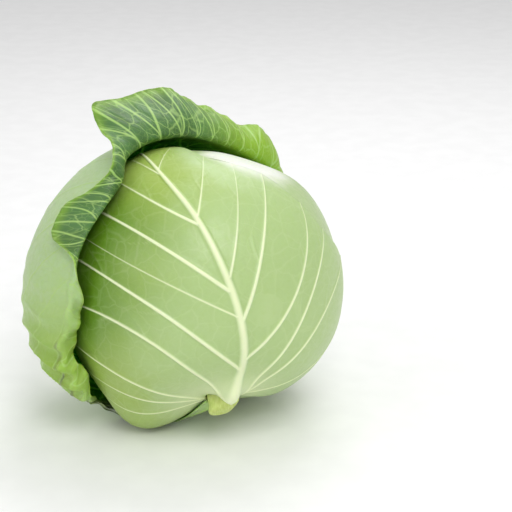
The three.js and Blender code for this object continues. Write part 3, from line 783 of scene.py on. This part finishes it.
def stem_stump(name):
    """The cut stump and its core: turned about the stem axis, with a soft cut edge."""
    wide = STUMP_RADIUS
    profile = np.array([
        (0, CORE_TOP), (CORE_TOP_RADIUS, CORE_TOP), (wide, CORE_FOOT), (wide, CORE_FOOT + 6),
        (wide, LEAN_FROM - 2), (wide - 0.5, LEAN_FROM + 1), (wide - 1.6, STUMP_END - 2),
        (wide - 3.2, STUMP_END - 0.5), (wide - 5.5, STUMP_END), (1.5, STUMP_END - 0.2),
        (0, STUMP_END - 0.2)])
    profile = smooth_row(profile, np.linspace(0, len(profile) - 1, STUMP_ROWS))
    turn = np.linspace(0, 2 * math.pi, STUMP_SIDES, endpoint=False)
    radius = profile[1:-1, 0]
    swell = 1 + 0.035 * np.sin(3 * turn + 1) + 0.015 * np.sin(8 * turn)
    ring = np.cos(turn)[:, None] * FRONT_AXIS + np.sin(turn)[:, None] * LEFT_AXIS
    lean = LEAN_FRONT * FRONT_AXIS + LEAN_LEFT * LEFT_AXIS
    share = np.maximum(profile[:, 1] - LEAN_FROM, 0) / (STUMP_END - LEAN_FROM)
    axis = CENTRE + profile[:, 1:] * STEM_AXIS + share[:, None] * lean
    points = (axis[1:-1, None] + (radius[:, None] * swell)[..., None] * ring).reshape(-1, 3)
    rows = len(radius)
    index = np.arange(rows * STUMP_SIDES).reshape(rows, STUMP_SIDES)
    turned = np.roll(index, -1, axis=1)
    quads = np.stack([index[:-1], turned[:-1], turned[1:], index[1:]], -1).reshape(-1, 4)
    ends = [axis[0], axis[-1]]
    top = index.size
    cut = top + 1
    faces = quads.tolist()
    faces += [(top, b, a) for a, b in zip(index[0].tolist(), turned[0].tolist())]
    faces += [(cut, a, b) for a, b in zip(index[-1].tolist(), turned[-1].tolist())]
    mesh = bpy.data.meshes.new(name)
    mesh.from_pydata((np.concatenate([points, ends]) * MM).tolist(), [], faces)
    mesh.polygons.foreach_set("use_smooth", np.ones(len(faces), bool))
    return bpy.data.objects.new(name, mesh)


# Materials
def linear(red, green, blue):
    """A display colour from 0 to 255 as linear light."""
    return tuple(
        (c / 255 / 12.92 if c / 255 <= 0.04045 else ((c / 255 + 0.055) / 1.055) ** 2.4)
        for c in (red, green, blue)) + (1.0,)


CELL_JITTER = 0.9


class Nodes:
    """Short calls to build a material's node tree."""

    def __init__(self, name):
        self.material = bpy.data.materials.new(name)
        self.material.use_nodes = True
        self.tree = self.material.node_tree
        self.shader = self.tree.nodes["Principled BSDF"]

    def link(self, value, socket):
        if hasattr(value, "is_output"):
            self.tree.links.new(value, socket)
        else:
            socket.default_value = value

    def attribute(self, name, output="Fac"):
        node = self.tree.nodes.new("ShaderNodeAttribute")
        node.attribute_name = name
        return node.outputs[output]

    def scaled(self, vector, scale):
        node = self.tree.nodes.new("ShaderNodeVectorMath")
        node.operation = "MULTIPLY"
        self.link(vector, node.inputs[0])
        node.inputs[1].default_value = scale
        return node.outputs[0]

    def noise(self, vector, scale, detail=3.0, rough=0.5):
        node = self.tree.nodes.new("ShaderNodeTexNoise")
        self.link(vector, node.inputs["Vector"])
        node.inputs["Scale"].default_value = scale
        node.inputs["Detail"].default_value = detail
        node.inputs["Roughness"].default_value = rough
        return node.outputs[0]

    def cells(self, vector, scale):
        node = self.tree.nodes.new("ShaderNodeTexVoronoi")
        node.feature = "DISTANCE_TO_EDGE"
        self.link(vector, node.inputs["Vector"])
        node.inputs["Scale"].default_value = scale
        node.inputs["Randomness"].default_value = CELL_JITTER
        return node.outputs["Distance"]

    def math(self, operation, *values):
        node = self.tree.nodes.new("ShaderNodeMath")
        node.operation = operation
        for value, socket in zip(values, node.inputs):
            self.link(value, socket)
        return node.outputs[0]

    def ramp(self, value, low, high, to_low=0.0, to_high=1.0):
        node = self.tree.nodes.new("ShaderNodeMapRange")
        node.interpolation_type = "SMOOTHSTEP"
        self.link(value, node.inputs["Value"])
        for key, number in zip(("From Min", "From Max", "To Min", "To Max"),
                               (low, high, to_low, to_high)):
            node.inputs[key].default_value = number
        return node.outputs["Result"]

    def mix(self, share, a, b):
        node = self.tree.nodes.new("ShaderNodeMix")
        node.data_type = "RGBA"
        self.link(share, node.inputs["Factor"])
        colours = [socket for socket in node.inputs if socket.type == "RGBA"]
        self.link(a, colours[0])
        self.link(b, colours[1])
        return next(socket for socket in node.outputs if socket.type == "RGBA")

    def bump(self, height, strength, distance, normal=None):
        node = self.tree.nodes.new("ShaderNodeBump")
        node.inputs["Strength"].default_value = strength
        node.inputs["Distance"].default_value = distance
        self.link(height, node.inputs["Height"])
        if normal is not None:
            self.tree.links.new(normal, node.inputs["Normal"])
        return node.outputs["Normal"]


# Light passes into the flesh, red, green and blue, by this share of GLOW_DEPTH (m)
LEAF_GLOW = (0.6, 1.0, 0.25)
STEM_GLOW = (0.8, 1.0, 0.3)
GLOW_DEPTH = 0.004

# A rim vein fades out between these distances from its middle, in shares of the spacing
RIM_VEIN_EDGE = (0.012, 0.055)
RIM_VEIN_SHOWN = 0.8


def rim_veins(nodes):
    """Share of vein colour where a vein, or one of its two forks, crosses the rolled rim."""
    from_vein = nodes.math("SUBTRACT", nodes.math("FRACT", nodes.attribute("across")), 0.5)
    from_fork = nodes.math("SUBTRACT", nodes.math("ABSOLUTE", from_vein), nodes.attribute("parted"))
    line = nodes.ramp(nodes.math("ABSOLUTE", from_fork), *RIM_VEIN_EDGE, RIM_VEIN_SHOWN, 0.0)
    return nodes.math("MULTIPLY", line, nodes.attribute("rim"))


# The net's veins bend by up to this many degrees of the chart, at this scale of noise
NET_BEND = (3, 3, 0)
NET_BEND_SCALE = 0.25


def bent_chart(nodes, chart):
    """The chart's places, shifted a little by noise so that the net's veins bend."""
    bent = nodes.tree.nodes.new("ShaderNodeVectorMath")
    bent.operation = "ADD"
    shift = nodes.tree.nodes.new("ShaderNodeTexNoise")
    nodes.link(chart, shift.inputs["Vector"])
    shift.inputs["Scale"].default_value = NET_BEND_SCALE
    nodes.link(chart, bent.inputs[0])
    nodes.link(nodes.scaled(shift.outputs["Color"], NET_BEND), bent.inputs[1])
    return bent.outputs[0]


def leaf_material(name, outside, inside, vein, young_and_backlit, net, sheen, glow):
    """A waxy leaf: outside colours bare, waxy, a painted pale sheen and a painted darker green shade,
    inside colours that vary in soft patches, pale ribs, a fine net of veins with puffed cells, and
    yellower parts: random patches and painted light shining through."""
    nodes = Nodes(name)
    chart = nodes.attribute("chart", "Vector")
    patches = nodes.noise(chart, 0.045, 4.0, 0.55)
    mottle = nodes.noise(chart, 0.4, 4.0, 0.6)
    bent = bent_chart(nodes, chart)
    coarse = nodes.cells(bent, net["coarse"])
    close = nodes.cells(bent, net["close"])
    coarse_line = nodes.ramp(coarse, 0.0, net["width"], 1.0, 0.0)
    close_line = nodes.ramp(close, 0.0, net["width"] * 1.3, 1.0, 0.0)
    lines = nodes.math("MAXIMUM", coarse_line, nodes.math("MULTIPLY", close_line, 0.4))
    inner = nodes.attribute("inner")
    faint = nodes.math("MULTIPLY", lines, nodes.ramp(inner, 0, 1, net["outside"], net["inside"]))

    uneven = nodes.math("MULTIPLY_ADD", patches, 0.9, -0.45)
    bloom_and_sheen = nodes.math("ADD", nodes.attribute("wax_and_sheen"), uneven)
    waxed_and_sheened = nodes.mix(nodes.ramp(bloom_and_sheen, 0.1, 0.9), outside[0], outside[1])
    # painted sheen: whitened near the crown, where the light from above glances off the leaf
    waxed_and_sheened = nodes.mix(nodes.ramp(bloom_and_sheen, 1.3, 2.4), waxed_and_sheened, outside[2])
    # painted shade: a darker green beside the rolled rim, where the rim shades the leaf
    out_colour = nodes.mix(nodes.attribute("painted_rim_shade"), waxed_and_sheened, outside[3])
    in_colour = nodes.mix(nodes.ramp(patches, 0.35, 0.65), inside[0], inside[1])
    colour = nodes.mix(inner, out_colour, in_colour)
    colour = nodes.mix(nodes.ramp(mottle, 0.45, 0.75, 0.0, net["mottle"]), colour, young_and_backlit)
    # painted light: yellower green where light shines through the thin loose leaf
    colour = nodes.mix(nodes.math("MULTIPLY", nodes.attribute("young_and_backlit"), 0.85), colour, young_and_backlit)
    colour = nodes.mix(nodes.math("MULTIPLY", nodes.attribute("base"), 0.55), colour, vein)
    colour = nodes.mix(faint, colour, vein)
    colour = nodes.mix(rim_veins(nodes), colour, vein)
    colour = nodes.mix(nodes.ramp(nodes.attribute("vein"), 0.1, 0.9, 0.0, 0.85), colour, vein)
    nodes.link(colour, nodes.shader.inputs["Base Color"])

    gloss = nodes.ramp(mottle, 0.3, 0.7, sheen["rough"] - 0.06, sheen["rough"] + 0.08)
    nodes.link(gloss, nodes.shader.inputs["Roughness"])
    nodes.shader.inputs["Specular IOR Level"].default_value = sheen["specular"]
    nodes.shader.inputs["Subsurface Weight"].default_value = glow
    nodes.shader.inputs["Subsurface Radius"].default_value = LEAF_GLOW
    nodes.shader.inputs["Subsurface Scale"].default_value = GLOW_DEPTH
    nodes.shader.inputs["Coat Weight"].default_value = sheen["coat"]
    nodes.shader.inputs["Coat Roughness"].default_value = 0.3
    puffed = nodes.math("ADD", nodes.ramp(coarse, 0.0, 0.5, 0.0, 1.0),
                        nodes.math("MULTIPLY", nodes.ramp(close, 0.0, 0.4, 0.0, 1.0), 0.4))
    first = nodes.bump(puffed, net["puff"], 0.0008)
    nodes.link(nodes.bump(mottle, 0.15, 0.0006, first), nodes.shader.inputs["Normal"])
    return nodes.material


def stem_material(name):
    """Cut stem: pale and fibrous along its length, a little browned at the cut."""
    nodes = Nodes(name)
    place = nodes.tree.nodes.new("ShaderNodeTexCoord").outputs["Object"]
    fibre = nodes.noise(nodes.scaled(place, (900, 250, 250)), 1.0, 4.0, 0.6)
    blotch = nodes.noise(place, 160.0, 3.0)
    colour = nodes.mix(nodes.ramp(fibre, 0.35, 0.7), linear(208, 222, 134), linear(190, 208, 104))
    colour = nodes.mix(nodes.ramp(blotch, 0.5, 0.75, 0.0, 0.3), colour, linear(178, 176, 96))
    nodes.link(colour, nodes.shader.inputs["Base Color"])
    nodes.shader.inputs["Roughness"].default_value = 0.5
    nodes.shader.inputs["Subsurface Weight"].default_value = 0.2
    nodes.shader.inputs["Subsurface Radius"].default_value = STEM_GLOW
    nodes.shader.inputs["Subsurface Scale"].default_value = GLOW_DEPTH
    nodes.link(nodes.bump(fibre, 0.4, 0.0005), nodes.shader.inputs["Normal"])
    return nodes.material


def heart_material(name):
    """Packed pale leaves, seen only in the gaps of the wrapper leaves."""
    nodes = Nodes(name)
    place = nodes.tree.nodes.new("ShaderNodeTexCoord").outputs["Object"]
    patches = nodes.noise(place, 30.0, 4.0)
    ribs = nodes.noise(nodes.scaled(place, (60, 60, 14)), 1.0, 3.0)
    colour = nodes.mix(nodes.ramp(patches, 0.35, 0.65), linear(222, 232, 160), linear(196, 214, 128))
    nodes.link(colour, nodes.shader.inputs["Base Color"])
    nodes.shader.inputs["Roughness"].default_value = 0.45
    nodes.link(nodes.bump(ribs, 0.4, 0.001), nodes.shader.inputs["Normal"])
    return nodes.material


VEIN = linear(240, 249, 204)
# Yellower green, for random patches and for painted light shining through the leaf
YOUNG_AND_BACKLIT_GREEN = linear(144, 182, 26)
# Colour of the painted sheen
PAINTED_SHEEN_WHITE = linear(242, 246, 234)
# Colour of the painted shade beside the rolled rim
PAINTED_SHADE_GREEN = linear(92, 134, 24)
WRAPPED_INSIDE = (linear(150, 182, 96), linear(140, 176, 100))

front_material = leaf_material(
    "leaf_front", (linear(156, 182, 82), linear(171, 197, 130), PAINTED_SHEEN_WHITE, PAINTED_SHADE_GREEN),
    WRAPPED_INSIDE, VEIN, YOUNG_AND_BACKLIT_GREEN,
    {"coarse": 0.11, "close": 0.3, "width": 0.05, "outside": 0.06, "inside": 0.4, "puff": 0.16,
     "mottle": 0.08},
    {"rough": 0.4, "specular": 0.5, "coat": 0.15}, 0.12)
back_material = leaf_material(
    "leaf_back", (linear(172, 198, 108), linear(172, 196, 134), PAINTED_SHEEN_WHITE, PAINTED_SHADE_GREEN),
    WRAPPED_INSIDE, VEIN, YOUNG_AND_BACKLIT_GREEN,
    {"coarse": 0.11, "close": 0.3, "width": 0.05, "outside": 0.1, "inside": 0.4, "puff": 0.2,
     "mottle": 0.1},
    {"rough": 0.36, "specular": 0.5, "coat": 0.25}, 0.12)
outer_material = leaf_material(
    "leaf_outer", (linear(166, 194, 120), linear(174, 200, 148), PAINTED_SHEEN_WHITE, PAINTED_SHADE_GREEN),
    (linear(60, 100, 34), linear(74, 118, 56)), linear(168, 200, 112), YOUNG_AND_BACKLIT_GREEN,
    {"coarse": 0.12, "close": 0.34, "width": 0.05, "outside": 0.25, "inside": 0.5, "puff": 0.4,
     "mottle": 0.1},
    {"rough": 0.45, "specular": 0.5, "coat": 0.1}, 0.55)


def place_piece(piece, node, material):
    bpy.context.scene.collection.objects.link(piece)
    piece.data.materials.append(material)
    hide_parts(node)
    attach(piece, "root")


place_piece(
    wrapper_leaf("front_leaf", front_plan, 0, [], 112, 1, ((0.4, 0.62, 0.8), 17), 0.35),
    "wrapper_leaf_front", front_material)
place_piece(
    wrapper_leaf("right_leaf", right_plan, 1, [front_plan], 90, 2, ((0.4, 0.6, 0.78), 17), 0.3,
                 RIGHT_LOBES),
    "wrapper_leaf_right", back_material)
place_piece(
    wrapper_leaf("left_leaf", left_plan, 2, [front_plan, right_plan], 60, 3, ((0.5, 0.75), 17), 0.2),
    "wrapper_leaf_left", back_material)
place_piece(
    outer_leaf("loose_leaf", 66, 1, 34, ((0.35, 0.5, 0.64, 0.77, 0.88), 19)),
    "outer_leaf", outer_material)
place_piece(stem_stump("stump"), "stem_stump", stem_material("stem_flesh"))

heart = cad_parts["heart"]
heart.data.materials.clear()
heart.data.materials.append(heart_material("heart_flesh"))


# Floor, light and camera
def make_floor():
    size = 4.0
    mesh = bpy.data.meshes.new("floor")
    corners = [(-size, -size, 0), (size, -size, 0), (size, size, 0), (-size, size, 0)]
    mesh.from_pydata(corners, [], [(0, 1, 2, 3)])
    floor = bpy.data.objects.new("floor", mesh)
    bpy.context.scene.collection.objects.link(floor)
    nodes = Nodes("floor_paper")
    place = nodes.tree.nodes.new("ShaderNodeTexCoord").outputs["Object"]
    grain = nodes.noise(place, 40.0, 2.0)
    colour = nodes.mix(nodes.ramp(grain, 0.3, 0.7), linear(246, 246, 246), linear(243, 243, 243))
    nodes.link(colour, nodes.shader.inputs["Base Color"])
    nodes.shader.inputs["Roughness"].default_value = 0.9
    mesh.materials.append(nodes.material)


LIT_HEIGHT = 0.09


def make_light(name, place, energy, size):
    """A square lamp that faces the middle of the head."""
    lamp = bpy.data.lights.new(name, "AREA")
    lamp.energy = energy
    lamp.size = size
    light = bpy.data.objects.new(name, lamp)
    light.location = place
    towards = np.array([0, 0, LIT_HEIGHT]) - np.array(place)
    flat = math.hypot(towards[0], towards[1])
    light.rotation_euler = (math.atan2(flat, -towards[2]), 0, math.atan2(-towards[0], towards[1]))
    bpy.context.scene.collection.objects.link(light)


def make_world():
    world = bpy.data.worlds.new("studio")
    world.use_nodes = True
    background = world.node_tree.nodes["Background"]
    background.inputs["Color"].default_value = (1, 1, 1, 1)
    background.inputs["Strength"].default_value = 0.64
    bpy.context.scene.world = world
    bpy.context.scene.view_settings.view_transform = "Standard"


CAMERA_DISTANCE = 0.914
CAMERA_RISE = math.radians(20)
FOCAL_PIXELS = 1422.2
FRAME_PIXELS = 512
HEAD_PIXEL = (201, 282)


def make_camera():
    """The photo's view: level with its horizon, 20 degrees down on the head."""
    data = bpy.data.cameras.new("camera")
    data.sensor_width = 36.0
    data.lens = FOCAL_PIXELS / FRAME_PIXELS * data.sensor_width
    camera = bpy.data.objects.new("camera", data)
    up = np.array([0, math.sin(CAMERA_RISE), math.cos(CAMERA_RISE)])
    back = np.array([0, -math.cos(CAMERA_RISE), math.sin(CAMERA_RISE)])
    right = np.array([1, 0, 0])
    per_pixel = CAMERA_DISTANCE / FOCAL_PIXELS
    middle = FRAME_PIXELS / 2
    camera.location = (CENTRE * MM + CAMERA_DISTANCE * back
                       + (middle - HEAD_PIXEL[0]) * per_pixel * right
                       - (middle - HEAD_PIXEL[1]) * per_pixel * up)
    camera.rotation_euler = (math.pi / 2 - CAMERA_RISE, 0, 0)
    bpy.context.scene.collection.objects.link(camera)
    bpy.context.scene.camera = camera


make_floor()
make_world()
make_light("key", (0.3, -0.9, 1.25), 8.5, 0.7)
make_light("top_back", (0.2, 0.6, 1.1), 4.5, 0.7)
make_light("fill", (-1.1, -0.8, 0.8), 3, 1.0)
make_camera()
